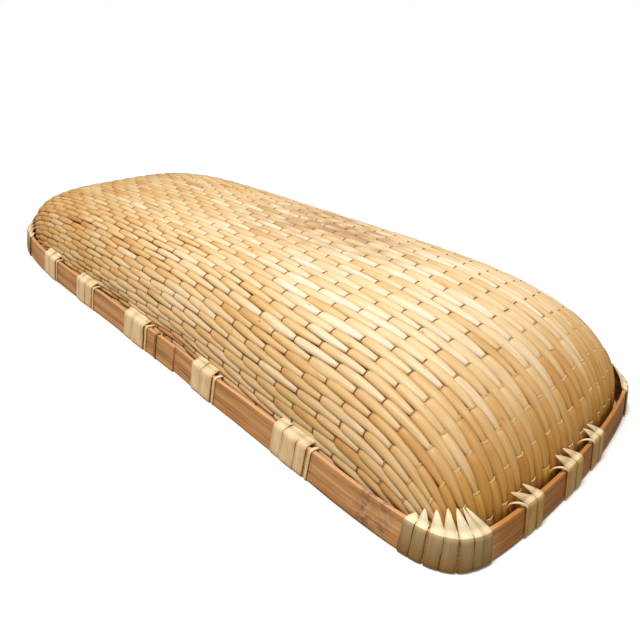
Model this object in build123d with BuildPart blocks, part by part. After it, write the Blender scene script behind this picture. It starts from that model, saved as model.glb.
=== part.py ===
from build123d import *
from math import cos, pi, sin
import os

import numpy as np

os.makedirs("parts", exist_ok=True)

# A shallow, round-cornered winnowing basket, resting upside down on its rim.
# X runs along its length, +Z is up, the origin is on the floor below its middle.
# The high, square end is at +X and the low, round end at -X. The front is at -Y.

# Rim
half_length = 300.0
half_width = 118.5
side_bow = 3.6  # each long side swells by this much between its middle and its ends
end_bow = 11.5  # each end bulges by this much between its corners and its middle
rim_height = 20.4
rim_lean = 3.6  # the rim's top edge stands this much further in than its foot
square_end_power = 11.2  # superellipse powers of the two halves of the outline
round_end_power = 5.4
hoop_thickness = 3.0
inner_hoop_inset = 15.5  # from the outer hoop's outer face to the inner hoop's outer face
inner_hoop_height = 16.0
scarf_place = 27.0  # where the outer hoop's two ends lap, on the front
scarf_length = 60.0
scarf_angle = -9.0  # degrees from the rim to the slit, so that the outer tip points to +X
scarf_slit = 0.4

# Woven bottom
crown_height = 81.0  # at the middle of the length
crown_fall = 0.148  # share of it gained at the square end and lost at the round end
square_end_shoulder = (5.1, 2.18)
round_end_shoulder = (3.84, 3.98)
side_shoulder = (4.17, 3.52)
weave_inset = 7.2  # from the rim's outer face to the weave's outer face
rod_pitch = 5.3
rod_thickness = 4.2
rod_gap = 0.3
rods_each_side = 29
rods_in_a_group = 10
rod_end_height = 8.0
rod_stations = 17
thread_pitch = 18.7
thread_diameter = 1.2
thread_clearance = 0.7
thread_stations = 17
thread_end_height = 10.0
lowest_thread = 16.0  # the first and last threads keep this far from the weave's edge

# Lashings
strip_thickness = 0.8
strip_width = 4.4
strip_gap = 0.6
strip_lift = 0.1  # clearance between a strip and the hoops it binds
strip_top = 24.5  # where a strip comes out of the weave
corner_strip_width = 7.6
corner_strip_pitch = 8.5
corner_strip_slack = 0.6  # a broad strip stands off the curved hoop by this much
corner_start = 259.0
round_corner_start = 238.0
front_lashing_places = {-174.0: 5, -101.0: 5, -15.0: 6, 78.0: 5, 169.0: 6}
back_lashing_places = {-172.0: 5, -88.0: 5, 2.0: 5, 92.0: 5, 178.0: 5}
square_end_places = {-53.5: 3, -8.5: 4, 26.0: 3}
round_end_places = {-48.0: 4, 0.0: 3, 46.0: 4}
corner_strip_count = 6
tie_width = 1.2
tie_places = (-11.0, -9.0)  # from the middle of the scarf

# How finely curves are sampled
fine_steps = 900  # points in each section and line that is measured along
rim_steps = 36000  # points round the rim when it is measured
rim_curve_points = 96
section_count = 359  # cross-sections of the weave along its length
tiny_turn = 1e-3  # radians between the two points that give the rim's direction
side_step = 0.5  # between two neighbouring lines that give a rod's direction across
cut_overshoot = 5.0


def signed_power(value, power):
    """Raises a value's size to a power and keeps its sign."""
    return np.sign(value) * np.abs(value) ** power


def rim_outline(turn, inset):
    """Points of the rim's outline seen from above, for turn angles in radians."""
    power = np.where(np.cos(turn) > 0, square_end_power, round_end_power)
    reach = (np.abs(np.cos(turn)) ** power + np.abs(np.sin(turn)) ** power) ** (-1 / power)
    share = reach * np.cos(turn)
    y = (half_width - inset + side_bow * share**2) * reach * np.sin(turn)
    x = share * (half_length - inset)
    x -= np.sign(share) * end_bow * (y / half_width) ** 2 * share**4
    return x, y


def rim_lengths():
    """Turn angles from the front's middle, counterclockwise, and the way along the rim."""
    turns = np.linspace(-pi / 2, 3 * pi / 2, rim_steps)
    x, y = rim_outline(turns, 0.0)
    steps = np.hypot(np.diff(x), np.diff(y))
    return turns, np.concatenate([[0], np.cumsum(steps)])


rim_turns, rim_ways = rim_lengths()
rim_length = rim_ways[-1]
end_middle = float(np.interp(0.0, rim_turns, rim_ways))


def rim_plane(way):
    """A plane across the rim at a way along it: its X points inwards and its Y up."""
    turn = np.interp(way % rim_length, rim_ways, rim_turns)
    x, y = rim_outline(np.array([turn - tiny_turn, turn, turn + tiny_turn]), 0.0)
    along = Vector(float(x[2] - x[0]), float(y[2] - y[0]), 0).normalized()
    inwards = Vector(0, 0, 1).cross(along)
    return Plane(origin=(float(x[1]), float(y[1]), 0), x_dir=inwards, z_dir=along)


def rim_curve(inset):
    """The closed outline as one smooth curve, for use inside a BuildLine."""
    ways = np.linspace(0, rim_length, rim_curve_points + 1)[:-1]
    x, y = rim_outline(np.interp(ways, rim_ways, rim_turns), inset)
    return Spline(*[(float(a), float(b)) for a, b in zip(x, y)], periodic=True)


def weave_point(lengthwise, around, drop):
    """Points of the woven bottom, at an angle along its length and angles round its section."""
    square_end = lengthwise > 0
    shoulder = square_end_shoulder if square_end else round_end_shoulder
    power = square_end_power if square_end else round_end_power
    share = signed_power(sin(lengthwise), 2 / shoulder[0])
    width = half_width - weave_inset - drop + side_bow * share**2
    width *= (1 - abs(share) ** power) ** (1 / power)
    height = (crown_height - drop) * (1 + crown_fall * share)
    height *= cos(lengthwise) ** (2 / shoulder[1])
    y = width * signed_power(np.sin(around), 2 / side_shoulder[0])
    z = height * np.abs(np.cos(around)) ** (2 / side_shoulder[1])
    x = (half_length - weave_inset - drop) * share
    x = x - np.sign(share) * end_bow * (y / half_width) ** 2 * share**4
    return np.stack([x, y, z], axis=-1)


def section_at(lengthwise, drop):
    """One cross-section from crown to foot, with each point's distance from the crown."""
    points = weave_point(lengthwise, np.linspace(0, pi / 2, fine_steps), drop)
    lengths = np.linalg.norm(np.diff(points, axis=0), axis=1)
    return points, np.concatenate([[0], np.cumsum(lengths)])


def point_at(section, distance):
    """The section's point at a distance from the crown, which is negative at the front."""
    points, distances = section
    found = [np.interp(abs(distance), distances, points[:, axis]) for axis in range(3)]
    found[1] *= np.sign(distance)
    return np.array(found)


def sections(drop):
    """Cross-sections at even angles from the round end's foot to the square end's."""
    angles = np.linspace(-pi / 2, pi / 2, section_count + 2)[1:-1]
    return [section_at(float(angle), drop) for angle in angles]


rod_sections = sections(rod_thickness / 2)


def rod_path(distance):
    """The middle line of the rod that keeps this distance from the crown line."""
    path = np.array([point_at(section, distance) for section in rod_sections])
    beside = np.array([point_at(section, distance + side_step) for section in rod_sections])
    standing = path[:, 2] > rod_end_height
    return path[standing], beside[standing]


def even_samples(path, count):
    """Indexes of points that stand evenly along a path."""
    steps = np.linalg.norm(np.diff(path, axis=0), axis=1)
    lengths = np.concatenate([[0], np.cumsum(steps)])
    wanted = np.linspace(0, lengths[-1], count)
    return sorted(set(int(np.abs(lengths - length).argmin()) for length in wanted))


def rod_planes(distance):
    """Planes across one rod, each with the half width that its neighbours leave it."""
    path, beside = rod_path(distance)
    along = np.gradient(path, axis=0)
    along /= np.linalg.norm(along, axis=1, keepdims=True)
    across = (beside - path) / side_step
    across -= np.sum(across * along, axis=1, keepdims=True) * along
    span = float(np.linalg.norm(path[-1] - path[0]))
    count = max(5, round(rod_stations * span / (2 * half_length)))
    planes = []
    for index in even_samples(path, count):
        room = float(np.linalg.norm(across[index])) * rod_pitch
        plane = Plane(
            origin=tuple(path[index]), x_dir=tuple(across[index]), z_dir=tuple(along[index])
        )
        planes.append((plane, max(room - rod_gap, 1.0) / 2))
    return planes


def rod_profiles(distance):
    """The oval sections of one rod, from the round end to the square end."""
    profiles = []
    for plane, half_room in rod_planes(distance):
        with BuildSketch(plane) as profile:
            Ellipse(half_room, rod_thickness / 2)
        profiles.append(profile.sketch)
    return profiles


def rod_distances(group):
    """The distances of one group's rods, counted outwards from the crown line."""
    first = group * rods_in_a_group
    last = min(first + rods_in_a_group, rods_each_side)
    return [(number + 0.5) * rod_pitch for number in range(first, last)]


# The rods of the woven bottom, in groups from the crown line down to the rim
for side_name, side in (("front", -1), ("back", 1)):
    for group, group_name in enumerate(("crown", "shoulder", "side")):
        with BuildPart() as rods:
            lofted = []
            for distance in rod_distances(group):
                profiles = rod_profiles(side * distance)
                lofted.append(loft(profiles, mode=Mode.PRIVATE))
            add(lofted)
        node = f"{group_name}_rods_{side_name}"
        rods.part.label = node
        export_step(rods.part, f"parts/{node}.step")


def thread_path(angle):
    """The way of one thread: up one side, over the crown and down the other."""
    drop = rod_thickness + thread_clearance + thread_diameter / 2
    section = section_at(angle, drop)
    points, distances = section
    reach = float(np.interp(-thread_end_height, -points[:, 2], distances))
    return [point_at(section, way) for way in np.linspace(-reach, reach, thread_stations)]


def thread_angles():
    """Lengthwise angles that stand one thread pitch apart along the crown line."""
    angles = np.linspace(-pi / 2, pi / 2, fine_steps)[1:-1]
    crown = np.array([weave_point(float(angle), 0.0, rod_thickness) for angle in angles])
    steps = np.linalg.norm(np.diff(crown, axis=0), axis=1)
    ways = np.concatenate([[0], np.cumsum(steps)])
    count = int((ways[-1] - 2 * lowest_thread) // thread_pitch)
    margin = (ways[-1] - count * thread_pitch) / 2
    wanted = [margin + number * thread_pitch for number in range(count + 1)]
    return [float(np.interp(way, ways, angles)) for way in wanted]


def thread_profiles(angle):
    """The round sections of one thread, in order along it."""
    path = [Vector(*[float(value) for value in point]) for point in thread_path(angle)]
    profiles = []
    for number, point in enumerate(path):
        ahead = path[min(number + 1, len(path) - 1)]
        behind = path[max(number - 1, 0)]
        across_plane = Plane(point, x_dir=(1, 0, 0), z_dir=ahead - behind)
        with BuildSketch(across_plane) as profile:
            Circle(thread_diameter / 2)
        profiles.append(profile.sketch)
    return profiles


# The cord threads that cross all the rods
with BuildPart() as threads:
    add([loft(thread_profiles(angle), ruled=True, mode=Mode.PRIVATE) for angle in thread_angles()])
threads.part.label = "binding_threads"
export_step(threads.part, "parts/binding_threads.step")


def hoop(inset, height):
    """A flat hoop of constant thickness that leans inwards as it rises."""
    lean = rim_lean * height / rim_height
    walls = []
    for start in (inset, inset + hoop_thickness):
        faces = []
        for level, shift in ((strip_thickness + strip_lift, 0.0), (height, lean)):
            with BuildSketch(Plane.XY.offset(level)) as face:
                with BuildLine():
                    rim_curve(start + shift)
                make_face()
            faces.append(face.sketch)
        walls.append(loft(faces, mode=Mode.PRIVATE))
    return walls


# The outer hoop: one flat bamboo strip, bent round, with its two ends scarfed together
with BuildPart() as outer_hoop:
    outside, inside = hoop(0.0, rim_height)
    add(outside)
    add(inside, mode=Mode.SUBTRACT)
    with BuildSketch(Plane.XY) as slit:
        with Locations((scarf_place, -half_width + (hoop_thickness + rim_lean) / 2)):
            Rectangle(scarf_length, scarf_slit, rotation=scarf_angle)
    extrude(slit.sketch, amount=rim_height + cut_overshoot, mode=Mode.SUBTRACT)
outer_hoop.part.label = "outer_hoop"
export_step(outer_hoop.part, "parts/outer_hoop.step")

# The inner hoop clamps the weave's edge from inside
with BuildPart() as inner_hoop:
    outside, inside = hoop(inner_hoop_inset, inner_hoop_height)
    add(outside)
    add(inside, mode=Mode.SUBTRACT)
inner_hoop.part.label = "inner_hoop"
export_step(inner_hoop.part, "parts/inner_hoop.step")


def strip_profile(slack):
    """The path of one strip across the rim, as inward and upward distances, from the weave's
    outside over the outer hoop, under both hoops and up to the weave's inside."""
    clear = strip_thickness / 2 + strip_lift
    lean = rim_lean * inner_hoop_height / rim_height
    inner_edge = inner_hoop_inset + hoop_thickness
    under = strip_thickness / 2
    return [
        (weave_inset - clear, strip_top),
        (rim_lean + hoop_thickness / 2, rim_height + clear),
        (rim_lean - clear - slack, rim_height + clear),
        (-clear - slack, under),
        (inner_edge + clear + slack, under),
        (inner_edge + lean + clear + slack, inner_hoop_height + clear),
        (inner_hoop_inset + lean - clear, inner_hoop_height + clear),
    ]


def strip(way, width, slack=0.0):
    """One split-bamboo strip, bent round the rim at a way along it."""
    with BuildSketch(rim_plane(way)) as profile:
        with BuildLine():
            Polyline(*strip_profile(slack))
        trace(line_width=strip_thickness)
    return extrude(profile.sketch, amount=width / 2, both=True, mode=Mode.PRIVATE)


def bundle(middle, count):
    """The strips of one lashing, side by side about a middle way along the rim."""
    pitch = strip_width + strip_gap
    ways = [middle + (number - (count - 1) / 2) * pitch for number in range(count)]
    return [strip(way, strip_width) for way in ways]


def corner_bundle(first_way, direction):
    """The turns of the one broad strip that is wound round a corner. They overlap at the
    corner's inside, so they join into one solid."""
    ways = [first_way + direction * number * corner_strip_pitch for number in range(corner_strip_count)]
    return [strip(way, corner_strip_width, corner_strip_slack) for way in ways]


# Lashings along the four sides, each a bundle of strips
lashing_sides = {
    "front_lashing": (0.0, front_lashing_places),
    "square_end_lashing": (end_middle, square_end_places),
    "back_lashing": (2 * end_middle, back_lashing_places),
    "round_end_lashing": (end_middle + rim_length / 2, round_end_places),
}
for side_name, (side_middle, places) in lashing_sides.items():
    for number, (place, count) in enumerate(places.items(), start=1):
        with BuildPart() as lashing:
            add(bundle(side_middle + place, count))
        node = f"{side_name}_{number}"
        lashing.part.label = node
        export_step(lashing.part, f"parts/{node}.step")

# Corner bindings, each one broad strip wound round the rim
corner_bindings = {
    "front_square_corner_binding": (corner_start, 1),
    "back_square_corner_binding": (2 * end_middle - corner_start, -1),
    "back_round_corner_binding": (2 * end_middle + round_corner_start, 1),
    "front_round_corner_binding": (-round_corner_start, -1),
}
for node, (first_way, direction) in corner_bindings.items():
    with BuildPart() as binding:
        add(corner_bundle(first_way, direction))
    binding.part.label = node
    export_step(binding.part, f"parts/{node}.step")

# The thin tie that holds the outer hoop's scarf closed
with BuildPart() as scarf_tie:
    add([strip(scarf_place + shift, tie_width) for shift in tie_places])
scarf_tie.part.label = "scarf_tie"
export_step(scarf_tie.part, "parts/scarf_tie.step")
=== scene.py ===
from math import cos, pi, radians, sin

import bpy
import numpy as np
from mathutils import Matrix, Vector


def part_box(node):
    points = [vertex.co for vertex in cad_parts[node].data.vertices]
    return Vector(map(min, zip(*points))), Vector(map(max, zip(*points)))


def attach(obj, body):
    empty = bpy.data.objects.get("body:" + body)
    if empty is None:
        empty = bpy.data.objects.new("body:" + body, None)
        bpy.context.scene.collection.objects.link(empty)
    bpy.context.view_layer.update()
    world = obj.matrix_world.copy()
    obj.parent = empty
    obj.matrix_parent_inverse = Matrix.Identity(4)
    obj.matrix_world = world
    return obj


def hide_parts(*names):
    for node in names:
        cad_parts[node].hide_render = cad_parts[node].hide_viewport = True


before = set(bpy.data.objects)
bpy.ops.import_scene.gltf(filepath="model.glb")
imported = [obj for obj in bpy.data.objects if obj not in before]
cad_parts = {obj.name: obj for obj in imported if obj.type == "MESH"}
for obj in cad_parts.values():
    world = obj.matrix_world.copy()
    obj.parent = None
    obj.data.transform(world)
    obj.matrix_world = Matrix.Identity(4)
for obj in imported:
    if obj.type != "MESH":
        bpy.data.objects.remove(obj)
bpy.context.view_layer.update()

# A winnowing basket that rests upside down on its rim. All lengths are in metres.
# X runs along the basket, its high square end is at +X, and -Y is the front.

mm = 0.001
rng = np.random.default_rng(58)

# Rim, from the CAD hoops
hoop_low, hoop_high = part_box("outer_hoop")
inner_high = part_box("inner_hoop")[1]
corner_swell = 1.56 * mm  # the rim is this much wider near its corners than at its middle
half_length = hoop_high.x
half_width = hoop_high.y - corner_swell
rim_height = hoop_high.z
hoop_foot = hoop_low.z
inner_hoop_height = inner_high.z
side_bow = 3.6 * mm
end_bow = 11.5 * mm
rim_lean = 3.6 * mm
square_end_power = 11.2
round_end_power = 5.4
hoop_thickness = 2.4 * mm
inner_hoop_inset = half_length - inner_high.x

# Woven bottom, from the CAD rods
crown_fall = 0.148
square_end_shoulder = (5.1, 2.18)
round_end_shoulder = (3.84, 3.98)
side_shoulder = (4.17, 3.52)
weave_inset = 7.2 * mm
crown_rod_pitch = 6.7 * mm  # the rods lie widest at the crown
rim_rod_pitch = 4.8 * mm
wide_rods = 8.0  # how many rods from the crown line it takes to come near the rim's pitch
square_end_fan = 0.12  # the rods spread by this share on their way to the square end
fan_length = 180.0 * mm
rods_each_side = 29
rod_end_height = 5.0 * mm
round_end_pitch = 14.2 * mm  # between two threads near the round end
square_end_pitch = 18.2 * mm
lowest_thread = 14.0 * mm
pitch_change_start = 0.2  # where the threads' pitch starts to change, as a share of the crown line
pitch_change_reach = 0.6

# A rod's section: its least height above and below the weave's middle, and its bulge
rod_core = 1.35 * mm
rod_bulge = 1.15 * mm
rod_sides = 12
weave_drop = rod_core + rod_bulge


def crown_share(angle):
    """How high the crown line stands at a lengthwise angle, against the middle's height."""
    shoulder = square_end_shoulder if angle > 0 else round_end_shoulder
    share = np.sign(angle) * abs(sin(angle)) ** (2 / shoulder[0])
    return (1 + crown_fall * share) * max(cos(angle), 0.0) ** (2 / shoulder[1])


crown_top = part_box("crown_rods_front")[1].z
crown_height = crown_top / max(crown_share(radians(angle / 4)) for angle in range(0, 200))


# ---- surfaces


def signed_power(value, power):
    """Raises values' sizes to a power and keeps their signs."""
    return np.sign(value) * np.abs(value) ** power


def rim_outline(turn, inset):
    """The rim's outline from above at turn angles, drawn in by an inset."""
    power = np.where(np.cos(turn) > 0, square_end_power, round_end_power)
    reach = (np.abs(np.cos(turn)) ** power + np.abs(np.sin(turn)) ** power) ** (-1 / power)
    share = reach * np.cos(turn)
    y = (half_width - inset + side_bow * share**2) * reach * np.sin(turn)
    x = share * (half_length - inset)
    x = x - np.sign(share) * end_bow * (y / half_width) ** 2 * share**4
    return x, y


rim_turns = np.linspace(-pi / 2, 3 * pi / 2, 40001)
rim_xs, rim_ys = rim_outline(rim_turns, 0.0)
rim_ways = np.concatenate([[0], np.cumsum(np.hypot(np.diff(rim_xs), np.diff(rim_ys)))])
rim_length = float(rim_ways[-1])
square_end_middle = float(np.interp(0.0, rim_turns, rim_ways))
back_middle = 2 * square_end_middle
round_end_middle = square_end_middle + rim_length / 2


def rim_points(way, inset, height):
    """Points at ways along the rim, an inset inwards and a height up, which may be arrays."""
    turn = np.interp(np.mod(way, rim_length), rim_ways, rim_turns)
    x, y = rim_outline(turn, 0.0)
    step = 1e-3
    x1, y1 = rim_outline(turn + step, 0.0)
    x0, y0 = rim_outline(turn - step, 0.0)
    size = np.hypot(x1 - x0, y1 - y0)
    inwards_x = -(y1 - y0) / size
    inwards_y = (x1 - x0) / size
    places = (x + inset * inwards_x, y + inset * inwards_y, height)
    return np.stack(np.broadcast_arrays(*places), axis=-1)


def weave_points(lengthwise, around, drop):
    """Points of the woven bottom, which lie a drop beneath its outer face."""
    square_end = lengthwise > 0
    shoulder_x = np.where(square_end, square_end_shoulder[0], round_end_shoulder[0])
    shoulder_z = np.where(square_end, square_end_shoulder[1], round_end_shoulder[1])
    power = np.where(square_end, square_end_power, round_end_power)
    share = signed_power(np.sin(lengthwise), 2 / shoulder_x)
    width = half_width - weave_inset - drop + side_bow * share**2
    width = width * (1 - np.abs(share) ** power) ** (1 / power)
    height = (crown_height - drop) * (1 + crown_fall * share)
    height = height * np.cos(lengthwise) ** (2 / shoulder_z)
    y = width * signed_power(np.sin(around), 2 / side_shoulder[0])
    z = height * np.abs(np.cos(around)) ** (2 / side_shoulder[1])
    x = (half_length - weave_inset - drop) * share
    x = x - np.sign(share) * end_bow * (y / half_width) ** 2 * share**4
    return np.stack([x, y, z], axis=-1)


section_angles = np.radians(np.linspace(-90, 90, 1081)[1:-1])
around_angles = np.linspace(0, pi / 2, 500)
section_grid = weave_points(section_angles[:, None], around_angles[None, :], weave_drop)
section_steps = np.linalg.norm(np.diff(section_grid, axis=1), axis=2)
section_ways = np.concatenate([np.zeros((len(section_grid), 1)), np.cumsum(section_steps, 1)], 1)


def smooth_step(value):
    """0 below 0, 1 above 1, and a smooth rise between."""
    value = np.clip(value, 0, 1)
    return value * value * (3 - 2 * value)


fans = 1 + square_end_fan * smooth_step(section_grid[:, 0, 0] / fan_length)


def weave_lines(distances):
    """Points with these distances from the crown line, which fan out at the square end."""
    points = np.empty((len(section_grid), 3))
    for row, distance in enumerate(distances * fans):
        for axis in range(3):
            points[row, axis] = np.interp(abs(distance), section_ways[row], section_grid[row, :, axis])
    points[:, 1] *= np.sign(distances)
    return points


def way_along(points):
    """The distance travelled along a path at each of its points."""
    steps = np.linalg.norm(np.diff(points, axis=0), axis=1)
    return np.concatenate([[0], np.cumsum(steps)])


def look_up(values, ways, table):
    """Reads the rows of a table of points at places between its own."""
    return np.stack([np.interp(values, ways, table[:, axis]) for axis in range(table.shape[1])], axis=-1)


def unit(vectors):
    """The vectors with length 1."""
    return vectors / np.maximum(np.linalg.norm(vectors, axis=-1, keepdims=True), 1e-12)


def smooth_noise(places, spacing, size, seed):
    """A smooth random wander: random values a spacing apart, joined by cosine curves."""
    local = np.random.default_rng(seed)
    knots = local.normal(0, size, 4096)
    place = np.asarray(places) / spacing + 2048
    low = np.floor(place).astype(int) % 4095
    share = (1 - np.cos(pi * (place - np.floor(place)))) / 2
    return knots[low] * (1 - share) + knots[low + 1] * share


# ---- meshes


sharp_angle = radians(48)


def add_object(name, data):
    """Adds an object to the scene."""
    made = bpy.data.objects.new(name, data)
    bpy.context.scene.collection.objects.link(made)
    return made


def make_piece(name, verts, faces, material, replaced=(), attributes=None, smooth=True):
    """Makes one piece of the basket, which rides on the root body."""
    mesh = bpy.data.meshes.new(name)
    mesh.from_pydata([tuple(v) for v in np.asarray(verts, float)], [], [tuple(f) for f in faces])
    mesh.validate()
    for key, values in (attributes or {}).items():
        attribute = mesh.attributes.new(key, "FLOAT", "POINT")
        attribute.data.foreach_set("value", np.asarray(values, np.float32))
    mesh.materials.append(material)
    if smooth:
        mesh.shade_smooth()
        mesh.set_sharp_from_angle(angle=sharp_angle)
    piece = add_object(name, mesh)
    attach(piece, "root")
    if replaced:
        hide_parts(*replaced)
    return piece


class Batch:
    """Gathers the vertices, faces and attributes of many parts of one piece."""

    def __init__(self):
        self.verts, self.faces, self.values, self.count = [], [], {}, 0

    def add(self, verts, faces, **values):
        self.verts.append(verts)
        self.faces.extend((np.asarray(face) + self.count).tolist() for face in faces)
        for key, value in values.items():
            filled = np.broadcast_to(np.asarray(value, float), (len(verts),))
            self.values.setdefault(key, []).append(filled)
        self.count += len(verts)

    def piece(self, name, material, slot, replaced=(), smooth=True):
        values = {key: np.concatenate(parts) for key, parts in self.values.items()}
        verts = np.concatenate(self.verts)
        return make_piece(name, verts, self.faces, material, replaced, values, smooth)


def tube_faces(rings, sides):
    """Quads between the rings of a closed tube, and one face over each end."""
    ring = np.arange(rings - 1)[:, None] * sides
    side = np.arange(sides)[None, :]
    after = (side + 1) % sides
    quads = np.stack([ring + side, ring + after, ring + sides + after, ring + sides + side], -1)
    faces = [list(quad) for quad in quads.reshape(-1, 4)]
    faces.append(list(range(sides))[::-1])
    faces.append([(rings - 1) * sides + corner for corner in range(sides)])
    return faces


def tube(centres, across, outwards, half_widths, heights, depths, sides):
    """Rings of a tube whose section is an oval with its own height above and depth below."""
    angles = np.arange(sides) * 2 * pi / sides
    side = np.cos(angles)[None, :, None] * half_widths[:, None, None] * across[:, None, :]
    rise = np.where(np.sin(angles)[None, :] >= 0, heights[:, None], depths[:, None])
    lift = (np.sin(angles)[None, :] * rise)[:, :, None] * outwards[:, None, :]
    return (centres[:, None, :] + side + lift).reshape(-1, 3)


# ---- materials


class Nodes:
    """A small helper that builds a material's node tree."""

    def __init__(self, name):
        self.material = bpy.data.materials.new(name)
        self.material.use_nodes = True
        self.tree = self.material.node_tree
        self.shader = self.tree.nodes["Principled BSDF"]

    def new(self, kind):
        return self.tree.nodes.new("ShaderNode" + kind)

    def link(self, value, socket):
        if isinstance(value, bpy.types.NodeSocket):
            self.tree.links.new(value, socket)
        else:
            socket.default_value = value

    def node(self, kind, output=0, **inputs):
        node = self.new(kind)
        for key, value in inputs.items():
            self.link(value, node.inputs[key.replace("_", " ")])
        return node.outputs[output]

    def attribute(self, name):
        node = self.new("Attribute")
        node.attribute_name = name
        return node.outputs["Fac"]

    def attributes(self, *names):
        return [self.attribute(name) for name in names]

    def math(self, operation, first, second=0.0, clamp=False):
        node = self.new("Math")
        node.operation = operation
        node.use_clamp = clamp
        self.link(first, node.inputs[0])
        self.link(second, node.inputs[1])
        return node.outputs[0]

    def times(self, first, second):
        return self.math("MULTIPLY", first, second)

    def plus(self, first, second):
        return self.math("ADD", first, second)

    def vector(self, x, y, z):
        return self.node("CombineXYZ", X=x, Y=y, Z=z)

    def place(self):
        node = self.new("TexCoord")
        split = self.new("SeparateXYZ")
        self.tree.links.new(node.outputs["Object"], split.inputs[0])
        return split.outputs[0], split.outputs[1], split.outputs[2]

    def noise(self, vector, scale=1.0, detail=3.0, roughness=0.55):
        settings = {"Scale": scale, "Detail": detail, "Roughness": roughness}
        return self.node("TexNoise", Vector=vector, **settings)

    def grain(self, along, across, number, long_scale, wide_scale, detail=3.0, roughness=0.55):
        """Noise that is stretched along a strip, and differs from one number to the next."""
        place = self.vector(self.times(along, long_scale), self.times(across, wide_scale), number)
        return self.noise(place, detail=detail, roughness=roughness)

    def ramp(self, value, *stops):
        node = self.new("ValToRGB")
        elements = node.color_ramp.elements
        while len(elements) < len(stops):
            elements.new(0.5)
        for element, (place, colour) in zip(elements, stops):
            element.position = place
            element.color = (*colour, 1.0) if len(colour) == 3 else colour
        self.link(value, node.inputs[0])
        return node.outputs[0]

    def between(self, value, low, high):
        """0 where the value is below low, 1 where it is above high, and a rise between."""
        return self.ramp(value, (low, (0, 0, 0)), (high, (1, 1, 1)))

    def mix(self, share, first, second, blend="MIX"):
        node = self.new("Mix")
        node.data_type = "RGBA"
        node.blend_type = blend
        self.link(share, node.inputs[0])
        self.link(first, node.inputs[6])
        self.link(second, node.inputs[7])
        return node.outputs[2]

    def bump(self, height, strength, distance):
        node = self.new("Bump")
        self.link(height, node.inputs["Height"])
        node.inputs["Strength"].default_value = strength
        node.inputs["Distance"].default_value = distance
        self.tree.links.new(node.outputs[0], self.shader.inputs["Normal"])

    def finish(self, colour, roughness, sheen=0.0):
        self.link(colour, self.shader.inputs["Base Color"])
        self.link(roughness, self.shader.inputs["Roughness"])
        self.shader.inputs["Sheen Weight"].default_value = sheen
        self.shader.inputs["Specular IOR Level"].default_value = 0.35
        return self.material


def colour(red, green, blue):
    """A colour given as it looks on screen, from 0 to 255, as Blender's linear values."""
    return tuple((value / 255) ** 2.2 for value in (red, green, blue))


def solid(red, green, blue):
    """The same as colour, with the fourth value that a node's colour socket takes."""
    return (*colour(red, green, blue), 1.0)


# What each material is multiplied by where it is gold-tinted and darker, in linear values: partly its
# own tint, partly painted shade on the faces that look to the ends and sides
willow_gold_and_shade = (0.72, 0.46, 0.12, 1.0)
bamboo_gold_and_shade = (0.74, 0.58, 0.32, 1.0)
strip_gold_and_shade = (0.72, 0.63, 0.36, 1.0)


def willow_material():
    """Peeled willow: straw with fine fibres, browner with painted shade where threads hold it down and
    down each rod's sides, and darker with painted shade and some dirt in the creases between neighbours.
    """
    n = Nodes("peeled_willow")
    along, round_, number = n.attributes("along", "round", "number")
    tone, pinch, low, stain = n.attributes("tone", "pinch", "low", "stain")
    fibres = n.grain(along, round_, number, 60.0, 900.0, 4.0, 0.6)
    patches = n.grain(along, round_, number, 40.0, 60.0, 3.0, 0.5)
    shade = n.plus(n.times(tone, 0.62), n.times(patches, 0.38))
    base = n.ramp(
        shade,
        (0.12, colour(206, 156, 92)),
        (0.36, colour(236, 200, 142)),
        (0.60, colour(247, 224, 178)),
        (0.85, colour(254, 243, 218)),
    )
    golden = n.attribute("golden")
    streaks = n.between(fibres, 0.35, 0.75)
    streak_share = n.plus(n.times(golden, 0.3), 0.3)
    streak_share = n.times(streaks, streak_share)
    base = n.mix(streak_share, base, solid(190, 138, 78))
    # Gold tint and painted shade on the faces that look to the ends and sides.
    base = n.mix(golden, base, willow_gold_and_shade, "MULTIPLY")
    bark = n.between(n.grain(along, round_, number, 75.0, 120.0, 3.0, 0.6), 0.64, 0.70)
    bark_share = n.times(n.times(bark, golden), 0.5)
    base = n.mix(bark_share, base, solid(204, 182, 148))
    # Painted shade in a narrow band where each thread holds the rod down.
    base = n.mix(n.times(pinch, 0.5), base, solid(150, 98, 50))
    # Painted shade down each rod's sides and underside, by the low attribute, and deeper painted shade
    # with some dirt in the creases between rods.
    side = n.math("POWER", low, 0.75, clamp=True)
    side_shade_colour = n.mix(golden, solid(168, 108, 54), solid(112, 68, 26))
    base = n.mix(n.times(side, 0.8), base, side_shade_colour)
    crease_dirt_and_shade = n.math("POWER", low, 2.0, clamp=True)
    base = n.mix(n.times(crease_dirt_and_shade, 0.85), base, solid(92, 52, 22))
    base = n.mix(n.times(stain, 0.8), base, solid(170, 126, 92))
    specks = n.grain(along, round_, number, 130.0, 330.0, 2.0, 0.5)
    speck = n.between(specks, 0.71, 0.78)
    base = n.mix(n.times(speck, 0.55), base, solid(120, 74, 40))
    n.bump(n.plus(fibres, n.times(patches, 0.5)), 0.35, 0.4 * mm)
    return n.finish(base, n.plus(0.36, n.times(fibres, 0.3)))


def cord_material():
    """Thin two-ply cord, tan and matte, with its twist as fine diagonal lines, and darker brown painted
    shade away from the square end's wall.
    """
    n = Nodes("binding_cord")
    along, round_ = n.attributes("along", "round")
    twist = n.math("SINE", n.plus(n.times(along, 5200.0), round_))
    tone = n.noise(n.vector(n.times(along, 90.0), n.attribute("number"), 0.0))
    light = n.ramp(tone, (0.3, colour(222, 178, 112)), (0.7, colour(246, 214, 156)))
    # Painted shade: dark brown cord away from the square end's wall, pale tan on it.
    base = n.mix(n.attribute("pale"), solid(152, 104, 58), light)
    base = n.mix(n.times(n.plus(twist, 1.0), 0.16), base, solid(122, 84, 44))
    n.bump(twist, 0.5, 0.2 * mm)
    return n.finish(base, 0.8)


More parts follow.
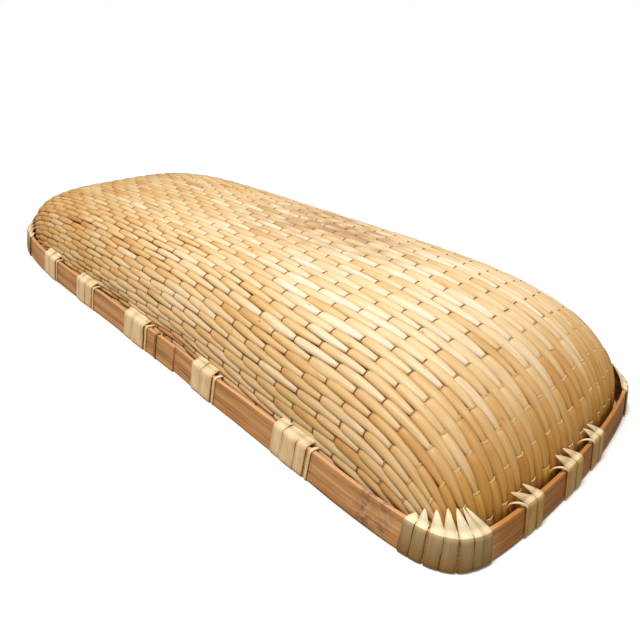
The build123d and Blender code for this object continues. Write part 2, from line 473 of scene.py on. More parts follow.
def bamboo_material(name, dark, middle, light, stained=False):
    """Flat split bamboo: fine dark and light lines along the strip, and slow patches."""
    n = Nodes(name)
    along, up, number = n.attributes("along", "up", "number")
    lines = n.grain(along, up, number, 5.0, 1500.0, 5.0, 0.7)
    broad = n.grain(along, up, number, 14.0, 160.0, 3.0, 0.6)
    shade = n.plus(n.times(lines, 0.6), n.times(broad, 0.4))
    base = n.ramp(shade, (0.34, dark), (0.48, middle), (0.64, light))
    edge = n.attribute("edge")
    base = n.mix(n.times(edge, 0.7), base, solid(226, 168, 116))
    # Gold tint and painted shade on the rim's square end.
    base = n.mix(n.attribute("golden"), base, bamboo_gold_and_shade, "MULTIPLY")
    if stained:
        stain = n.attribute("stain")
        blotch = n.grain(along, up, 0.0, 260.0, 260.0)
        share = n.times(stain, n.between(blotch, 0.42, 0.58))
        base = n.mix(n.times(share, 0.7), base, solid(84, 72, 68))
    n.bump(lines, 0.5, 0.5 * mm)
    return n.finish(base, n.plus(0.42, n.times(lines, 0.25)))


def strip_material(name, dark, middle, light, foot):
    """A pale lashing strip with fibres along it, with painted shade at its edges, and greener and darker
    towards its foot, partly its own colour and partly painted shade.
    """
    n = Nodes(name)
    along, wide, number = n.attributes("along", "wide", "number")
    fibres = n.grain(along, wide, number, 22.0, 1400.0, 5.0, 0.65)
    patch = n.grain(along, wide, number, 60.0, 150.0)
    shade = n.plus(n.times(fibres, 0.6), n.times(patch, 0.4))
    base = n.ramp(shade, (0.3, dark), (0.5, middle), (0.7, light))
    # Painted shade along each strip's edges.
    base = n.mix(n.times(n.attribute("edge"), 0.4), base, (*dark, 1.0), "MULTIPLY")
    # Greener and darker towards the foot on the hoop's outer face: partly the strip's own colour, partly
    # painted shade.
    base = n.mix(n.attribute("foot"), base, (*foot, 1.0), "MULTIPLY")
    # Gold tint and painted shade on the square end's side.
    base = n.mix(n.attribute("golden"), base, strip_gold_and_shade, "MULTIPLY")
    n.bump(fibres, 0.45, 0.4 * mm)
    return n.finish(base, n.plus(0.4, n.times(fibres, 0.25)))


willow = willow_material()
cord = cord_material()
hoop_bamboo = bamboo_material(
    "hoop_bamboo", colour(104, 62, 30), colour(188, 132, 80), colour(230, 178, 124), stained=True
)
inner_bamboo = bamboo_material(
    "inner_bamboo", colour(140, 96, 56), colour(188, 144, 92), colour(214, 176, 122)
)
pale_strip = strip_material(
    "split_bamboo", colour(200, 164, 112), colour(242, 214, 168), colour(254, 240, 208),
    colour(232, 214, 184),
)
green_strip = strip_material(
    "corner_bamboo", colour(216, 182, 128), colour(246, 226, 184), colour(254, 248, 226),
    colour(142, 114, 52),
)
tie_strip = strip_material(
    "tie_bamboo", colour(120, 78, 44), colour(158, 112, 70), colour(190, 150, 100),
    colour(226, 214, 178),
)


# ---- the weave


def thread_angles():
    """Lengthwise angles of the threads, which stand closer towards the round end."""
    crown = section_grid[:, 0, :]
    ways = way_along(crown)
    places = [lowest_thread]
    while places[-1] < ways[-1] - lowest_thread - square_end_pitch:
        share = smooth_step((places[-1] / ways[-1] - pitch_change_start) / pitch_change_reach)
        places.append(places[-1] + round_end_pitch + share * (square_end_pitch - round_end_pitch))
    return np.interp(places, ways, section_angles)


threads = thread_angles()
thread_count = len(threads)


def bell(value):
    """1 where the value is 0, and a smooth fall to 0 on both sides."""
    return np.exp(-(value**2))


def rod_places():
    """Distances of the rods' middles from the crown line, and the room each one has."""
    nearness = bell(np.arange(rods_each_side) / wide_rods)
    pitches = rim_rod_pitch + (crown_rod_pitch - rim_rod_pitch) * nearness
    rooms = np.concatenate([pitches[::-1], pitches])
    rooms = rooms * (1 + rng.normal(0, 0.1, len(rooms)).clip(-0.2, 0.25))
    rooms *= 2 * pitches.sum() / rooms.sum()
    edges = np.concatenate([[0], np.cumsum(rooms)]) - pitches.sum()
    return (edges[1:] + edges[:-1]) / 2, rooms


rod_distances, rod_rooms = rod_places()


slack_depth = 1.5 * mm
slack_height = 36 * mm
slack_ease = 14 * mm
# Each slack place: from and to along X, and the lengths over which it sets in and ends
slack_places = ((-92 * mm, -26 * mm, 14 * mm, 10 * mm), (0.0, 66 * mm, 8 * mm, 22 * mm))


def drawn_in(path):
    """The path with the slack places, where the front rods stand off the outer hoop."""
    x, y, z = path.T
    slack = sum(
        smooth_step((x - start) / setting_in) * smooth_step((stop - x) / ending)
        for start, stop, setting_in, ending in slack_places
    )
    low = smooth_step((slack_height - z) / slack_ease) * (y < 0)
    return path + np.array([0, slack_depth, 0]) * (slack * low)[:, None]


rod_wander_spacing = 45 * mm
rod_wander = 0.14 * mm
beside_step = 0.4 * mm  # how far aside the path is taken again, to find the way across
crossing_jitter = 0.7 * mm
wander_seed = 700


def rod_frames(number, distance):
    """One rod's path, the ways, forward and across directions along it, where the threads
    cross it, and which threads do."""
    crown_xs = section_grid[:, 0, 0]
    wander = smooth_noise(crown_xs, rod_wander_spacing, rod_wander, wander_seed + number)
    distances = distance + wander * np.sign(distance)
    path = weave_lines(distances)
    beside = weave_lines(distances + beside_step)
    edge_height = section_grid[:, 0, 2]
    standing = (path[:, 2] > rod_end_height) & (edge_height > rod_end_height)
    path, beside = drawn_in(path[standing]), drawn_in(beside[standing])
    ways = way_along(path)
    along = unit(np.gradient(path, axis=0))
    across = (beside - path) / beside_step
    across = across - np.sum(across * along, axis=1, keepdims=True) * along
    angles = section_angles[standing]
    crossing_ways = np.interp(threads, angles, ways)
    inside = (threads > angles[0]) & (threads < angles[-1])
    jitter = rng.normal(0, crossing_jitter, thread_count)
    return path, ways, along, across, crossing_ways + jitter, inside


# Where a rod's rings stand between two threads: closest beside the threads, where it bends most
interval_steps = np.array(
    [0.0, 0.025, 0.06, 0.11, 0.18, 0.28, 0.4, 0.53, 0.66, 0.79, 0.89, 0.95, 0.98]
)
quick_rise = 0.045  # shares of the way between the threads that hold a rod
quick_dip = 0.02
slow_sink = 0.72
least_width = 0.64  # of the room that a rod has
width_gain = 0.64
blunt_start = 0.03
blunt_rise = 0.07
point_share = 0.92


def height_curve(phase):
    """How far a rod rises from under one thread, at 0, to the next that holds it, at 2. It
    rises at once on the side towards the round end and sinks slowly to the other."""
    share = np.mod(phase, 2.0) / 2
    rise = 1 - np.exp(-share / quick_rise)
    dip = 1 - np.exp(-(1 - share) / quick_dip)
    return rise * (1 - slow_sink * share**2) * dip


def width_curve(phase):
    """A rod's width against the room it has: blunt at one end and pointed at the other."""
    share = np.mod(phase, 2.0) / 2
    rise = 1 - np.exp(-(share + blunt_start) / blunt_rise)
    return least_width + width_gain * rise * (1 - point_share * share**3)


stain_middle = (55 * mm, 35 * mm)
stain_reach = (85 * mm, 45 * mm)


def stain_at(points):
    """A greyish stain on the back of the crown, in patches."""
    x, y = points[:, 0], points[:, 1]
    near = bell((x - stain_middle[0]) / stain_reach[0])
    near = near * bell((y - stain_middle[1]) / stain_reach[1])
    patches = smooth_noise(x + y * 3.1, 11 * mm, 0.5, 91)
    patches += smooth_noise(y * 1.7 - x * 0.6, 7 * mm, 0.5, 92)
    return (near * (0.55 + 0.7 * patches)).clip(0, 1)


def gold_and_shade_share(points, outwards):
    """How gold-tinted and dark the willow is, partly its own tint and partly painted shade on faces that
    look to the ends and sides: most on the ends, and in patches on the round half.
    """
    square = np.maximum(outwards[:, 0], 0) ** 1.3
    sides = 0.34 * np.abs(outwards[:, 1]) ** 1.2
    round_end = 0.95 * np.maximum(-outwards[:, 0], 0)
    patches = (0.9 + smooth_noise(points[:, 0] + 2.3 * points[:, 1], 40 * mm, 0.35, 77)).clip(0, 2)
    far = 0.42 * smooth_step(0.1 - points[:, 0] / half_length) * patches
    return (square + sides + round_end + far).clip(0, 1)


def painted_shoulder_highlight(points, outwards):
    """A painted highlight: paler tone on upward faces where the crown turns down to the square end."""
    near = bell((points[:, 0] / half_length - 0.55) / 0.4)
    return near * np.maximum(outwards[:, 2], 0) ** 2


def outward_ways(centres, forward, sideways):
    """The directions across a rod that point out of the basket."""
    outwards = unit(np.cross(forward, sideways))
    deep_below = np.array([0.0, 0.0, -half_length])
    return outwards * np.sign(np.sum(outwards * (centres - deep_below), axis=1, keepdims=True))


crossing_frames = {}


def note_crossings(number, first, knot_ways, ways, path, along, across):
    """Notes where each thread crosses this rod: its middle, outward way and forward way."""
    centres = look_up(knot_ways, ways, path)
    forward = unit(look_up(knot_ways, ways, along))
    outwards = outward_ways(centres, forward, unit(look_up(knot_ways, ways, across)))
    for place in range(len(knot_ways)):
        crossing_frames[number, first + place] = (centres[place], outwards[place], forward[place])


stretch_kinds = 64  # a stretch is what shows of a rod between two threads that hold it
stretch_seed = 3000
tone_seed = 5000
size_by_room = 0.1
size_wander_spacing = 60 * mm
size_wander = 0.04
full_room = 3.2 * mm  # with less room than this, a rod gets thinner
stretch_shift = 0.3 * mm
stretch_tilt = 0.7 * mm
rod_tone_spread = 0.09
tone_change = 0.24  # how much paler a stretch gets from one end to the other
pinch_shade_reach = 0.75 * mm
shoulder_highlight_gain = 0.2
rod_grain_step = 7.3  # between the places where neighbouring rods take their grain's noise


def add_rod(batch, number):
    """Adds one rod as a tube that bulges and is pinched in step with the threads."""
    path, ways, along, across, crossings, inside = rod_frames(number, rod_distances[number])
    used = np.nonzero(inside)[0]
    if len(used) < 2:
        return
    first, last = used[0], used[-1]
    knots = np.arange(first, last + 1).astype(float)
    knot_ways = np.maximum.accumulate(crossings[first : last + 1])
    note_crossings(number, first, knot_ways, ways, path, along, across)
    start = first - (knot_ways[0] - ways[0]) / round_end_pitch
    stop = last + (ways[-1] - knot_ways[-1]) / square_end_pitch
    counts = (np.arange(np.floor(start), np.ceil(stop))[:, None] + interval_steps).ravel()
    counts = counts[(counts > start) & (counts < stop)]
    counts = np.concatenate([[start], counts, [stop]])
    all_knots = np.concatenate([[start], knots, [stop]])
    all_ways = np.concatenate([[ways[0]], knot_ways, [ways[-1]]])
    places = np.interp(counts, all_knots, all_ways)
    centres = look_up(places, ways, path)
    forward = unit(look_up(places, ways, along))
    sideways = look_up(places, ways, across)
    room = np.linalg.norm(sideways, axis=1) * rod_rooms[number]
    sideways = unit(sideways)
    outwards = outward_ways(centres, forward, sideways)
    phase = counts + number
    over = height_curve(phase)
    under = height_curve(phase + 1)
    size = 1 - size_by_room + size_by_room * room / crown_rod_pitch
    size = size * (1 + smooth_noise(places, size_wander_spacing, size_wander, number))
    thin = np.minimum(room / full_room, 1.0)
    heights = (rod_core + rod_bulge * over) * size * thin
    depths = (rod_core + rod_bulge * under) * size * thin
    stretch = np.floor(phase / 2).astype(int) % stretch_kinds
    local = np.random.default_rng(stretch_seed + number)
    tones = local.normal(0.5, 0.16, stretch_kinds)
    widths = local.normal(1.05, 0.07, stretch_kinds)
    shifts = local.normal(0, stretch_shift, stretch_kinds)
    tilts = local.normal(0, stretch_tilt, stretch_kinds)
    half_widths = room / 2 * width_curve(phase) * widths[stretch]
    aside = (shifts[stretch] + tilts[stretch] * (np.mod(phase, 2.0) / 2 - 0.5)) * over
    centres = centres + sideways * aside[:, None]
    verts = tube(centres, sideways, outwards, half_widths, heights, depths, rod_sides)
    angles = np.arange(rod_sides) * 2 * pi / rod_sides
    round_ = np.tile(np.cos(angles) * crown_rod_pitch / 2, len(counts))
    # low: 1 on a rod's sides and underside and 0 on its top, where the willow paints shade.
    low = np.tile((1 - np.maximum(np.sin(angles), 0)) ** 2, len(counts))
    rod_tone = np.random.default_rng(tone_seed + number).normal(0.0, rod_tone_spread)
    tone = (tones[stretch] + rod_tone + tone_change * (np.mod(phase, 2.0) - 1)).clip(0, 1)
    from_thread = (np.mod(phase + 1, 2.0) - 1) * square_end_pitch
    # Painted shade: a narrow band where a thread holds the rod down, for the willow to darken.
    pinch = bell(from_thread / pinch_shade_reach)
    # Painted highlight: paler tone on the upward faces of the square end's shoulder.
    tone = (tone + shoulder_highlight_gain * painted_shoulder_highlight(centres, outwards)).clip(0, 1)
    golden = gold_and_shade_share(centres, outwards)
    stain = stain_at(centres)
    rings = {"along": places, "tone": tone, "pinch": pinch, "stain": stain, "golden": golden}
    batch.add(
        verts,
        tube_faces(len(counts), rod_sides),
        round=round_,
        low=low,
        number=number * rod_grain_step,
        **{key: np.repeat(values, rod_sides) for key, values in rings.items()},
    )


rod_groups = {
    "side_rods_front": range(0, 9),
    "shoulder_rods_front": range(9, 19),
    "crown_rods_front": range(19, 29),
    "crown_rods_back": range(29, 39),
    "shoulder_rods_back": range(39, 49),
    "side_rods_back": range(49, 58),
}
for node, numbers in rod_groups.items():
    rods = Batch()
    for number in numbers:
        add_rod(rods, number)
    rods.piece("woven_" + node, willow, "peeled_willow", (node,))


# ---- threads

ply_radius = 0.27 * mm
ply_spread = 0.26 * mm
ply_sides = 6
thread_lift = rod_core + ply_radius
thread_steps = 8
pale_thickening = 0.4
thread_grain_step = 3.1


def thread_line(thread):
    """The middle line of one thread, over one rod and under the next, and its ways aside."""
    numbers = [number for number in range(2 * rods_each_side) if (number, thread) in crossing_frames]
    frames = [crossing_frames[number, thread] for number in numbers]
    centres, outwards, forward = (np.array(part) for part in zip(*frames))
    lifts = np.where((np.array(numbers) + thread) % 2 == 0, thread_lift, -thread_lift)
    steps = np.arange((len(numbers) - 1) * thread_steps + 1) / thread_steps
    low = np.minimum(steps.astype(int), len(numbers) - 2)
    share = (steps - low)[:, None]
    middle = centres[low] * (1 - share) + centres[low + 1] * share
    out = unit(outwards[low] * (1 - share) + outwards[low + 1] * share)
    aside = unit(forward[low] * (1 - share) + forward[low + 1] * share)
    swing = signed_power(np.cos(pi * share), 0.8) * lifts[low][:, None]
    return middle + out * swing, aside


def unshaded_share(points):
    """1 where threads are pale, on the square end's wall, and 0 where painted shade darkens them."""
    return smooth_step((points[:, 0] - 0.72 * half_length) / (0.16 * half_length))


def add_ply(batch, line, aside, thread, side):
    """One of a thread's two plies, which lie side by side and are thicker where they are pale."""
    centres = line + aside * ply_spread * side
    forward = unit(np.gradient(centres, axis=0))
    across = unit(aside - np.sum(aside * forward, axis=1, keepdims=True) * forward)
    up = np.cross(forward, across)
    radius = ply_radius * (1 + pale_thickening * unshaded_share(centres))
    verts = tube(centres, across, up, radius, radius, radius, ply_sides)
    batch.add(
        verts,
        tube_faces(len(centres), ply_sides),
        along=np.repeat(way_along(centres), ply_sides),
        round=np.tile(np.arange(ply_sides) * 2 * pi / ply_sides, len(centres)),
        number=thread * thread_grain_step + side,
        pale=np.repeat(unshaded_share(centres), ply_sides),
    )


thread_batch = Batch()
for thread in range(thread_count):
    line, aside = thread_line(thread)
    for side in (-1, 1):
        add_ply(thread_batch, line, aside, thread, side)
thread_batch.piece("twisted_threads", cord, "cord", ("binding_threads",))


# ---- hoops

hoop_station = 3.0 * mm
hoop_edge_radius = 0.5 * mm
hoop_end = 41 * mm  # where the outer hoop's visible end stops, on the front
hoop_lap = 45 * mm  # how far its hidden end runs on behind it
hoop_merge = 40 * mm  # how far beyond the visible end the strip takes to come out again
lap_thinning = 0.5  # share of its thickness that each lapped end keeps
square_end_reach = 86 * mm  # along the rim, from the square end's middle to its corners
square_end_ease = 16 * mm
# Each dark stain on the hoop: its middle along the rim, its reach and its strength
hoop_stains = ((231 * mm, 5 * mm, 1.0), (243 * mm, 4 * mm, 0.75))


def rounded_rectangle(width, height, radius):
    """A closed section, from its outer foot up: distances inwards and upwards."""
    corners = ((radius, height - radius, 180), (width - radius, height - radius, 90))
    corners += ((width - radius, radius, 0), (radius, radius, -90))
    inwards, upwards = [], []
    for x, y, angle in corners:
        for turn in np.radians(np.linspace(angle, angle - 90, 4)):
            inwards.append(x + radius * cos(turn))
            upwards.append(y + radius * sin(turn))
    for share in np.linspace(0, 1, 8)[1:-1]:
        inwards.append(0.0)
        upwards.append(radius + share * (height - 2 * radius))
    return np.array(inwards), np.array(upwards)


def square_end_share(ways):
    """1 on the square end's side of the rim, 0 on the other sides."""
    from_corner = square_end_reach - np.abs(np.mod(ways, rim_length) - square_end_middle)
    return smooth_step(from_corner / square_end_ease + 0.5)


def hoop_piece(name, node, ways, shift, shares, height, material, seed):
    """A flat strip swept round the rim, which may shift inwards and get thinner along its way."""
    inwards, upwards = rounded_rectangle(hoop_thickness, height - hoop_foot, hoop_edge_radius)
    lean = rim_lean * upwards / (rim_height - hoop_foot)
    wave = smooth_noise(ways, 60 * mm, 0.16 * mm, seed)[:, None]
    ripple = smooth_noise(ways, 17 * mm, 0.07 * mm, seed + 1)[:, None]
    top = 1 + smooth_noise(ways, 45 * mm, 0.010, seed + 2)[:, None]
    through = inwards[None, :] * shares[:, None]
    inset = shift[:, None] + through + lean[None, :] + np.abs(wave) + ripple
    heights = hoop_foot + upwards[None, :] * np.minimum(top, 1.0)
    verts = rim_points(ways[:, None], np.maximum(inset, 0), heights).reshape(-1, 3)
    face_up = (upwards > height - hoop_foot - hoop_edge_radius).astype(float)
    stain = sum(share * bell((ways - place) / reach) for place, reach, share in hoop_stains)
    faces = tube_faces(len(ways), len(inwards))
    attributes = {
        "along": np.repeat(ways, len(inwards)),
        "up": np.tile(upwards + inwards, len(ways)),
        "edge": np.tile(face_up, len(ways)),
        "stain": np.repeat(stain, len(inwards)),
        # Gold tint and painted shade along the square end's side of the rim.
        "golden": np.repeat(square_end_share(ways), len(inwards)),
        "number": np.full(len(verts), seed * 1.7),
    }
    return make_piece(name, verts, faces, material, (node,), attributes)


outer_ways = np.arange(hoop_end - hoop_lap, rim_length + hoop_end, hoop_station)
outer_ways = np.append(outer_ways, rim_length + hoop_end)
coming_out = smooth_step((outer_ways - hoop_end) / hoop_merge)
ending = smooth_step((rim_length + hoop_end - outer_ways) / hoop_merge)
outer_shares = lap_thinning + (1 - lap_thinning) * np.minimum(coming_out, ending)
outer_shift = (lap_thinning * hoop_thickness + 0.25 * mm) * (1 - coming_out)
hoop_piece(
    "outer_bamboo_hoop", "outer_hoop", outer_ways, outer_shift, outer_shares, rim_height,
    hoop_bamboo, 11,
)
inner_ways = np.arange(0, rim_length + 30 * mm, hoop_station)
inner_shift = inner_hoop_inset + 2.4 * mm * (1 - smooth_step(inner_ways / (60 * mm)))
hoop_piece(
    "inner_bamboo_hoop", "inner_hoop", inner_ways, inner_shift, np.ones(len(inner_ways)),
    inner_hoop_height, inner_bamboo, 23,
)


# ---- lashings

strip_thickness = 0.6 * mm
path_step = 0.55 * mm
bend_samples = 4
strip_columns = 7
strip_clear = 0.5 * mm
strip_crown = 0.3 * mm
least_stretch = 0.45  # limits to what the rim's bends do to a strip's width
most_stretch = 1.5
square_corner_way = 255.2 * mm  # where the corner bindings start, along the rim
round_corner_way = 234.2 * mm


def weave_face(way, height):
    """How far inwards the weave's outer face stands from the rim's line, at a height."""
    rim = rim_points(np.array(way), 0.0, 0.0)
    inwards = rim_points(np.array(way), 1.0, 0.0) - rim
    angles = np.radians(np.linspace(-89, 89, 3561))
    crown = weave_points(angles, 0.0, 0.0)[:, 2]
    angles = angles[crown > height]
    crown = crown[crown > height]
    around = np.arccos((height / crown) ** (side_shoulder[1] / 2))
    found = weave_points(angles, np.sign(rim[1]) * around, 0.0) - rim
    found = found[found @ inwards < half_width]
    aside = np.abs(found[:, 0] * inwards[1] - found[:, 1] * inwards[0])
    return float(found[aside.argmin()] @ inwards)


def bent_path(points):
    """A polyline of (inset, height, aside) points, sampled evenly, with its corners rounded."""
    points = np.array(points)
    ways = way_along(points)
    samples = np.linspace(0, ways[-1], int(ways[-1] / path_step))
    path = look_up(samples, ways, points)
    before = np.repeat(path[:1], bend_samples, 0)
    after = np.repeat(path[-1:], bend_samples, 0)
    padded = np.concatenate([before, path, after])
    kernel = np.ones(2 * bend_samples + 1) / (2 * bend_samples + 1)
    smooth = np.stack([np.convolve(padded[:, axis], kernel, "valid") for axis in range(3)], -1)
    return samples, smooth


def sheet_faces(rows, columns):
    """Quads of a closed sheet: its two sides and the walls between them."""
    near = np.arange(rows * columns).reshape(rows, columns)
    far = near + rows * columns
    quads = [np.stack([near[:-1, :-1], near[:-1, 1:], near[1:, 1:], near[1:, :-1]], -1)]
    quads.append(np.stack([far[:-1, :-1], far[1:, :-1], far[1:, 1:], far[:-1, 1:]], -1))
    faces = [list(quad) for part in quads for quad in part.reshape(-1, 4)]
    border = [*near[0], *near[1:, -1], *near[-1, -2::-1], *near[-2:0:-1, 0]]
    for here, after in zip(border, border[1:] + border[:1]):
        faces.append([after, here, here + rows * columns, after + rows * columns])
    return faces


def add_strip(batch, way, width, points, taper, foot_tint_and_shade_share=1.0, knife=0.0):
    """A strip that follows a path across the rim. Its first end tapers to a point. A knife
    keeps one edge straight and slopes the other, and is narrower at the hoop's top."""
    ways, path = bent_path(points)
    across = np.linspace(-1, 1, strip_columns)
    seed = int(rng.integers(1, 9999))
    if taper > 0:
        half = width / 2 * np.clip(ways / taper, 0.02, 1) ** 0.75
    else:
        half = np.full(len(ways), width / 2)
    half = half * (1 + smooth_noise(ways, 9 * mm, 0.03, seed))
    if knife:
        half = half * (0.88 + 0.12 * smooth_step((ways - taper) / rim_height))
    middle = way + path[:, 2] - knife * (width / 2 - half)
    ahead = rim_points(middle + mm / 2, path[:, 0], 0.0)
    behind = rim_points(middle - mm / 2, path[:, 0], 0.0)
    stretch = np.linalg.norm(ahead - behind, axis=1) / mm
    half_way = half / np.clip(stretch, least_stretch, most_stretch)
    step = unit(np.gradient(path[:, :2], axis=0))
    raised = np.clip(path[:, 1] / (4 * mm), 0, 1) * half / (width / 2)
    bulge = strip_crown * (1 - across**2)[None, :] * raised[:, None]
    inset = path[:, 0:1] + step[:, 1:2] * bulge
    height = path[:, 1:2] - step[:, 0:1] * bulge
    place = middle[:, None] + half_way[:, None] * across[None, :]
    grid = rim_points(place, inset, height)
    normal = unit(np.cross(np.gradient(grid, axis=1), np.gradient(grid, axis=0)))
    verts = np.concatenate([grid + normal * strip_thickness / 2, grid - normal * strip_thickness / 2])
    outer_face = (path[:, 0] < rim_lean + hoop_thickness / 2) & (path[:, 1] < rim_height)
    # How far down the hoop's outer face a point lies, for the foot's own greener colour and painted
    # shade.
    foot_tint_and_shade_ramp = np.where(outer_face, 0.65 + 0.35 * (1 - path[:, 1] / rim_height), 0.0)
    foot = np.repeat(foot_tint_and_shade_ramp * foot_tint_and_shade_share, strip_columns)
    batch.add(
        verts.reshape(-1, 3),
        sheet_faces(len(ways), strip_columns),
        along=np.tile(np.repeat(ways, strip_columns), 2),
        wide=np.tile((half[:, None] * across[None, :]).ravel(), 2),
        edge=np.tile(np.abs(across) ** 3, 2 * len(ways)),
        foot=np.tile(foot, 2),
        # Gold tint and painted shade where the strip lies on the square end's hoop face.
        golden=np.tile(square_end_share(place).ravel() * (foot > 0), 2),
        number=seed * 0.37,
    )


def hoop_loop(stand_off=0.0):
    """The part of a strip's path that goes down the outer hoop and up the inner one."""
    clear = strip_clear + stand_off
    inner_edge = inner_hoop_inset + hoop_thickness
    inner_lean = rim_lean * inner_hoop_height / rim_height
    under = strip_thickness / 2 + 0.05 * mm
    return [
        (rim_lean + hoop_thickness, rim_height + strip_clear, 0.0),
        (rim_lean - clear, rim_height + strip_clear, 0.0),
        (-clear, under, 0.0),
        (inner_edge + 3 * mm, under, 0.0),
        (inner_edge + inner_lean + 3 * mm, inner_hoop_height + strip_clear, 0.0),
        (inner_hoop_inset + inner_lean, inner_hoop_height + strip_clear, 0.0),
        (inner_hoop_inset - 2 * mm, inner_hoop_height + 4 * mm, 0.0),
    ]


def tucked_strip(batch, way, width, lean, rise, stand_off):
    """A strip that goes over the hoop's top and in between two rods of the weave."""
    height = rim_height + rise
    face = weave_face(way, height)
    tail = [(face + 4 * mm, height - 3 * mm, lean * 1.4), (face + 0.2 * mm, height, lean)]
    add_strip(batch, way, width, tail + hoop_loop(stand_off), 0.0, 0.35)


def blade_strip(batch, way, width, lean, rise, foot_tint_and_shade_share=0.6, stand_off=0.0, knife=0.0):
    """A strip whose end is a pointed blade that lies against the weave."""
    height = rim_height + rise
    face = weave_face(way, height)
    tip = (face - 0.2 * mm, height, lean)
    middle = (
        (face + rim_lean + hoop_thickness) / 2 - 1.0 * mm, rim_height + rise * 0.55, lean * 0.45
    )
    loop = hoop_loop(stand_off)
    length = float(np.linalg.norm(np.array(tip) - np.array(loop[0])))
    add_strip(batch, way, width, [tip, middle] + loop, length * 0.95, foot_tint_and_shade_share, knife)


def loop_strip(batch, way, width, lean, rise):
    """A narrow end that curls loosely over the hoop and down behind it."""
    top = rim_height + rise
    behind = [
        (10 * mm, 9 * mm, lean), (9.5 * mm, top - 2 * mm, lean),
        (7 * mm, top, lean * 0.7), (rim_lean + 1 * mm, top - 1 * mm, lean * 0.3),
    ]
    add_strip(batch, way, width, behind + hoop_loop()[1:], 0.0, 0.6)


def lashing(node, first_way, widths, kind, lean, rise, gap=0.3 * mm):
    """One lashing: strips side by side, given by where the first starts and their widths."""
    strips = Batch()
    way = first_way
    for number, width in enumerate(widths):
        middle = way + width / 2
        tilt = lean * (1 + rng.uniform(-0.25, 0.25))
        off = 0.35 * mm * (number % 2)
        if kind == "blades":
            blade_strip(strips, middle, width, tilt, rise * (1 + rng.uniform(-0.1, 0.1)), 0.6, off)
        else:
            tucked_strip(strips, middle, width, tilt, rise * (1 + rng.uniform(-0.15, 0.15)), off)
        way += width + gap
    if kind == "blades":
        loop_strip(strips, first_way - 1.2 * mm, 1.8 * mm, -8 * mm, 3.5 * mm)
    else:
        loop_strip(strips, way + 3.0 * mm, 2.0 * mm, 2 * mm, 1.5 * mm)
    strips.piece(node + "_strips", pale_strip, "split_bamboo", (node,))


# Where each lashing starts, from the middle of its side, and its strips' widths, both in mm
front_lashings = {
    -187: (13, 12.5),
    -115: (4.4, 11.2, 11.2),
    -30: (11.8, 17.6),
    66: (11, 12),
    154.6: (8.7, 11.8, 7.8),
}
back_lashings = {-184.5: (12, 12.5), -100: (11, 12.8), -10.5: (9, 15), 80: (12, 12.3), 165: (11, 14)}
square_end_lashings = {-60: (8, 6), -17: (9.5, 7.5), 19: (7.5, 6.3)}
round_end_lashings = {-57: (9, 9), -7: (7, 7), 37: (9, 9)}
lashing_sides = (
    ("front_lashing_", 0.0, front_lashings, "tucks", 3.5 * mm, 4.5 * mm),
    ("square_end_lashing_", square_end_middle, square_end_lashings, "blades", -10 * mm, 7.5 * mm),
    ("back_lashing_", back_middle, back_lashings, "tucks", -3.5 * mm, 4.5 * mm),
    ("round_end_lashing_", round_end_middle, round_end_lashings, "tucks", 3 * mm, 4 * mm),
)
for prefix, side_middle, groups, kind, lean, rise in lashing_sides:
    for number, (start, widths) in enumerate(groups.items(), start=1):
        lashing(
            prefix + str(number), side_middle + start * mm, [width * mm for width in widths],
            kind, lean, rise,
        )

# The corner bindings' strips in order, all in mm
corner_widths = (6.5, 6.6, 7.8, 7.6, 7.6, 5.2, 6.6)
corner_gaps = (0.1, 1.6, 0.4, 1.5, 0.5, 0.1, 0.0)
corner_rises = (3.0, 7.5, 8.5, 10.0, 10.5, 10.5, 11.0)
corner_leans = (3.5, 1.0, -1.0, -2.0, -3.0, -4.5, -7.5)
corners = {
    "front_square_corner_binding": (square_corner_way, 1),
    "back_square_corner_binding": (back_middle - square_corner_way, -1),
    "back_round_corner_binding": (back_middle + round_corner_way, 1),
    "front_round_corner_binding": (-round_corner_way, -1),
}
for node, (first_way, direction) in corners.items():
    strips = Batch()
    way = first_way
    for width, gap, rise, lean in zip(corner_widths, corner_gaps, corner_rises, corner_leans):
        middle = way + direction * width * mm / 2
        blade_strip(
            strips, middle, width * mm, direction * lean * mm, rise * mm, 1.0, 0.3 * mm, direction
        )
        way += direction * (width + gap) * mm
    strips.piece(node + "_strips", green_strip, "split_bamboo", (node,))

tie = Batch()
loop_strip(tie, 16.4 * mm, 0.8 * mm, 2 * mm, 1.2 * mm)
loop_strip(tie, 17.4 * mm, 0.8 * mm, 3 * mm, 1.8 * mm)
tie.piece("thin_scarf_tie", tie_strip, "split_bamboo", ("scarf_tie",))


# ---- floor, light and camera


floor_size = 6.0
floor_gap = 0.2 * mm
floor_glow = 0.8
camera_ray = 0  # the light path node's output for what the camera sees itself


def floor_material():
    """A nearly white floor. The light it gives back to the basket is warmer and darker than it
    looks, and away from the basket it glows to the camera."""
    n = Nodes("pale_floor")
    x, y, z = n.place()
    tone = n.noise(n.vector(x, y, z), scale=3.0, detail=2.0)
    base = n.ramp(tone, (0.3, (0.95, 0.95, 0.95)), (0.7, (0.98, 0.98, 0.98)))
    bounce = n.ramp(tone, (0.3, (0.42, 0.36, 0.28)), (0.7, (0.46, 0.40, 0.32)))
    seen = n.node("LightPath", camera_ray)
    n.shader.inputs["Emission Color"].default_value = (1.0, 1.0, 1.0, 1.0)
    long_part = n.math("POWER", n.math("ABSOLUTE", n.math("DIVIDE", x, 1.2 * half_length)), 2.0)
    wide_part = n.math("POWER", n.math("ABSOLUTE", n.math("DIVIDE", y, 1.5 * half_width)), 2.0)
    away = n.math("SUBTRACT", n.plus(long_part, wide_part), 1.0, clamp=True)
    glow = n.times(n.times(seen, away), floor_glow)
    n.link(glow, n.shader.inputs["Emission Strength"])
    return n.finish(n.mix(seen, bounce, base), 0.9)


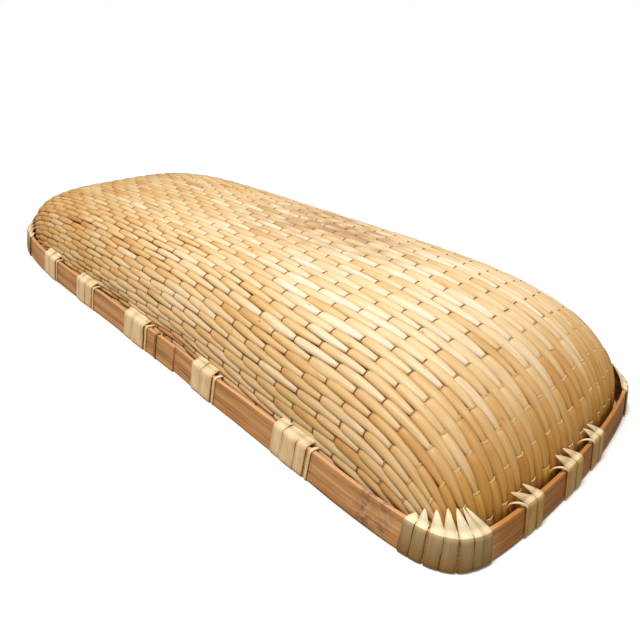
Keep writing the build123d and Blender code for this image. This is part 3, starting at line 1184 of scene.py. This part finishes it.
def add_floor():
    """A flat square just beneath the basket, which is staging and no part of it."""
    mesh = bpy.data.meshes.new("floor")
    size = floor_size
    corners = [(-size, -size, 0), (size, -size, 0), (size, size, 0), (-size, size, 0)]
    mesh.from_pydata(corners, [], [(0, 1, 2, 3)])
    mesh.materials.append(floor_material())
    floor = add_object("floor", mesh)
    floor.location.z = -floor_gap


def add_area_light(name, place, target, size, power, tint):
    """A square soft light that looks at a target."""
    light = bpy.data.lights.new(name, "AREA")
    light.shape = "SQUARE"
    light.size = size
    light.energy = power
    light.color = tint
    lamp = add_object(name, light)
    lamp.location = place
    lamp.rotation_euler = (Vector(target) - Vector(place)).to_track_quat("-Z", "Y").to_euler()


def add_world(strength):
    """Even light from all round, which looks plain white to the camera."""
    world = bpy.data.worlds.new("studio")
    world.use_nodes = True
    tree = world.node_tree
    background = tree.nodes["Background"]
    seen = tree.nodes.new("ShaderNodeLightPath").outputs["Is Camera Ray"]
    power = tree.nodes.new("ShaderNodeMapRange")
    power.inputs["To Min"].default_value = strength
    power.inputs["To Max"].default_value = 1.0
    tree.links.new(seen, power.inputs["Value"])
    tree.links.new(power.outputs["Result"], background.inputs["Strength"])
    background.inputs["Color"].default_value = (1.0, 1.0, 1.0, 1.0)
    bpy.context.scene.world = world


world_strength = 0.40
key_place = (0.10, -0.40, 1.40)
key_target = (0.0, 0.0, 0.04)
key_size = 0.32
key_power = 18.0
key_tint = (1.0, 0.985, 0.95)

add_floor()
add_world(world_strength)
add_area_light("key", key_place, key_target, key_size, key_power, key_tint)


def add_camera():
    """The camera stands over the front's square corner and looks down along the basket."""
    azimuth, elevation, roll = radians(43.798), radians(29.046), radians(3.069)
    back = Vector((sin(azimuth) * cos(elevation), -cos(azimuth) * cos(elevation), sin(elevation)))
    target = Vector((52.8 * mm, 26.7 * mm, 0.0))
    distance = 514.5 * mm
    right = (-back).cross(Vector((0, 0, 1))).normalized()
    up = right.cross(-back)
    rolled_right = right * cos(roll) + up * sin(roll)
    rolled_up = up * cos(roll) - right * sin(roll)
    data = bpy.data.cameras.new("camera")
    data.sensor_width = 36.0
    data.lens = 32.516
    data.shift_x = -0.0023
    data.shift_y = -0.0045
    data.clip_start = 0.01
    data.clip_end = 50.0
    camera = add_object("camera", data)
    axes = Matrix((rolled_right, rolled_up, back)).transposed()
    camera.matrix_world = Matrix.Translation(target + back * distance) @ axes.to_4x4()
    bpy.context.scene.camera = camera


add_camera()
bpy.context.scene.view_settings.view_transform = "Standard"

bpy.context.view_layer.update()
